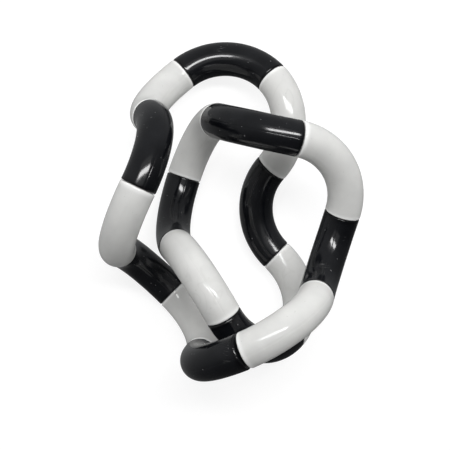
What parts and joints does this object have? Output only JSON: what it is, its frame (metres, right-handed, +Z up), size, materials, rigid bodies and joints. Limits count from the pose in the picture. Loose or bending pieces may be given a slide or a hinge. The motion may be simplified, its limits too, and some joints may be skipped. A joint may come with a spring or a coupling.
{
  "type": "twisty snake puzzle",
  "caption": "Closed loop of quarter-bend plastic tubes, black and white in turn, that snap together and swivel at every joint.",
  "frame": {"origin": "centre of the bounding box, on the surface that the loop lies on", "axes": "+Z up from that surface; +Y along the longer side of the loop as it lies, +X across it"},
  "size_m": [0.072, 0.0966, 0.0538],
  "materials": {
    "black_plastic": "glossy",
    "white_plastic": "glossy"
  },
  "bodies": {
    "segment_01": {"segment_01_shell_a": "black_plastic", "segment_01_shell_b": "black_plastic", "segment_01_pin": "black_plastic"},
    "segment_02": {"segment_02_shell_a": "white_plastic", "segment_02_shell_b": "white_plastic", "segment_02_pin": "white_plastic"},
    "segment_03": {"segment_03_shell_a": "black_plastic", "segment_03_shell_b": "black_plastic", "segment_03_pin": "black_plastic"},
    "segment_04": {"segment_04_shell_a": "white_plastic", "segment_04_shell_b": "white_plastic", "segment_04_pin": "white_plastic"},
    "segment_05": {"segment_05_shell_a": "black_plastic", "segment_05_shell_b": "black_plastic", "segment_05_pin": "black_plastic"},
    "segment_06": {"segment_06_shell_a": "white_plastic", "segment_06_shell_b": "white_plastic", "segment_06_pin": "white_plastic"},
    "segment_07": {"segment_07_shell_a": "black_plastic", "segment_07_shell_b": "black_plastic", "segment_07_pin": "black_plastic"},
    "segment_08": {"segment_08_shell_a": "white_plastic", "segment_08_shell_b": "white_plastic", "segment_08_pin": "white_plastic"},
    "segment_09": {"segment_09_shell_a": "black_plastic", "segment_09_shell_b": "black_plastic", "segment_09_pin": "black_plastic"},
    "segment_10": {"segment_10_shell_a": "white_plastic", "segment_10_shell_b": "white_plastic", "segment_10_pin": "white_plastic"},
    "segment_11": {"segment_11_shell_a": "black_plastic", "segment_11_shell_b": "black_plastic", "segment_11_pin": "black_plastic"},
    "segment_12": {"segment_12_shell_a": "white_plastic", "segment_12_shell_b": "white_plastic", "segment_12_pin": "white_plastic"},
    "segment_13": {"segment_13_shell_a": "black_plastic", "segment_13_shell_b": "black_plastic", "segment_13_pin": "black_plastic"},
    "segment_14": {"segment_14_shell_a": "white_plastic", "segment_14_shell_b": "white_plastic", "segment_14_pin": "white_plastic"},
    "segment_15": {"segment_15_shell_a": "black_plastic", "segment_15_shell_b": "black_plastic", "segment_15_pin": "black_plastic"},
    "segment_16": {"segment_16_shell_a": "white_plastic", "segment_16_shell_b": "white_plastic", "segment_16_pin": "white_plastic"},
    "segment_17": {"segment_17_shell_a": "black_plastic", "segment_17_shell_b": "black_plastic", "segment_17_pin": "black_plastic"},
    "segment_18": {"segment_18_shell_a": "white_plastic", "segment_18_shell_b": "white_plastic", "segment_18_pin": "white_plastic"}
  },
  "joints": [
    {"name": "swivel_02_03", "type": "hinge", "parent": "segment_03", "child": "segment_02", "pos_m": [0.01296, 0.01149, 0.0107], "axis": [0.592, 0.6971, 0.4045], "range_deg": [-175, 0]},
    {"name": "swivel_01_02", "type": "hinge", "parent": "segment_02", "child": "segment_01", "pos_m": [0.01241, 0.03746, 0.01224], "axis": [-0.6219, 0.7143, -0.3208], "range_deg": [-6, 0]},
    {"name": "swivel_18_01", "type": "hinge", "parent": "segment_01", "child": "segment_18", "pos_m": [-0.01313, 0.03884, 0.00745], "axis": [-0.7661, -0.6399, 0.0604], "range_deg": [-5, 0]},
    {"name": "swivel_17_18", "type": "hinge", "parent": "segment_18", "child": "segment_17", "pos_m": [-0.02264, 0.02321, 0.02596], "axis": [-0.2493, 0.2091, -0.9456], "range_deg": [0, 175]},
    {"name": "swivel_16_17", "type": "hinge", "parent": "segment_17", "child": "segment_16", "pos_m": [-0.02564, 0.00269, 0.04167], "axis": [0.4122, 0.9065, 0.0918], "range_deg": [0, 5]},
    {"name": "swivel_15_16", "type": "hinge", "parent": "segment_16", "child": "segment_15", "pos_m": [-0.03062, -0.01333, 0.02178], "axis": [-0.1411, -0.0361, 0.9893], "range_deg": [-175, 0]},
    {"name": "swivel_14_15", "type": "hinge", "parent": "segment_15", "child": "segment_14", "pos_m": [-0.01474, -0.02531, 0.00501], "axis": [-0.7223, 0.6871, -0.0779], "range_deg": [-175, 0]},
    {"name": "swivel_13_14", "type": "hinge", "parent": "segment_14", "child": "segment_13", "pos_m": [-0.00731, -0.04219, 0.02336], "axis": [0.3185, 0.2306, -0.9194], "continuous": true},
    {"name": "swivel_03_04", "type": "hinge", "parent": "segment_03", "child": "segment_04", "pos_m": [0.01545, -0.01382, 0.0052], "axis": [0.727, -0.6785, 0.1053], "range_deg": [-25, 0]},
    {"name": "swivel_04_05", "type": "hinge", "parent": "segment_04", "child": "segment_05", "pos_m": [0.018, -0.03617, 0.01826], "axis": [0.5884, 0.5366, -0.6049], "range_deg": [0, 30]},
    {"name": "swivel_05_06", "type": "hinge", "parent": "segment_05", "child": "segment_06", "pos_m": [-0.00211, -0.03081, 0.03389], "axis": [0.5044, -0.8282, -0.2441], "range_deg": [-5, 0]},
    {"name": "swivel_06_07", "type": "hinge", "parent": "segment_06", "child": "segment_07", "pos_m": [-0.01447, -0.01219, 0.02055], "axis": [0.1676, -0.1834, 0.9686], "range_deg": [0, 10]},
    {"name": "swivel_07_08", "type": "hinge", "parent": "segment_07", "child": "segment_08", "pos_m": [-0.01221, 0.00862, 0.00511], "axis": [-0.2907, -0.9481, -0.1292], "range_deg": [-25, 0]},
    {"name": "swivel_08_09", "type": "hinge", "parent": "segment_08", "child": "segment_09", "pos_m": [-0.00401, 0.02276, 0.02536], "axis": [-0.1552, 0.1799, -0.9714], "range_deg": [-175, 0]},
    {"name": "swivel_09_10", "type": "hinge", "parent": "segment_09", "child": "segment_10", "pos_m": [0.01672, 0.01666, 0.03986], "axis": [-0.9713, 0.1517, 0.1832], "range_deg": [0, 175]},
    {"name": "swivel_10_11", "type": "hinge", "parent": "segment_10", "child": "segment_11", "pos_m": [0.03062, -0.00244, 0.02895], "axis": [0.2157, 0.8863, 0.4099], "range_deg": [0, 175]},
    {"name": "swivel_11_12", "type": "hinge", "parent": "segment_11", "child": "segment_12", "pos_m": [0.02205, -0.02529, 0.03797], "axis": [0.2501, 0.3556, -0.9006], "continuous": true}
  ]
}
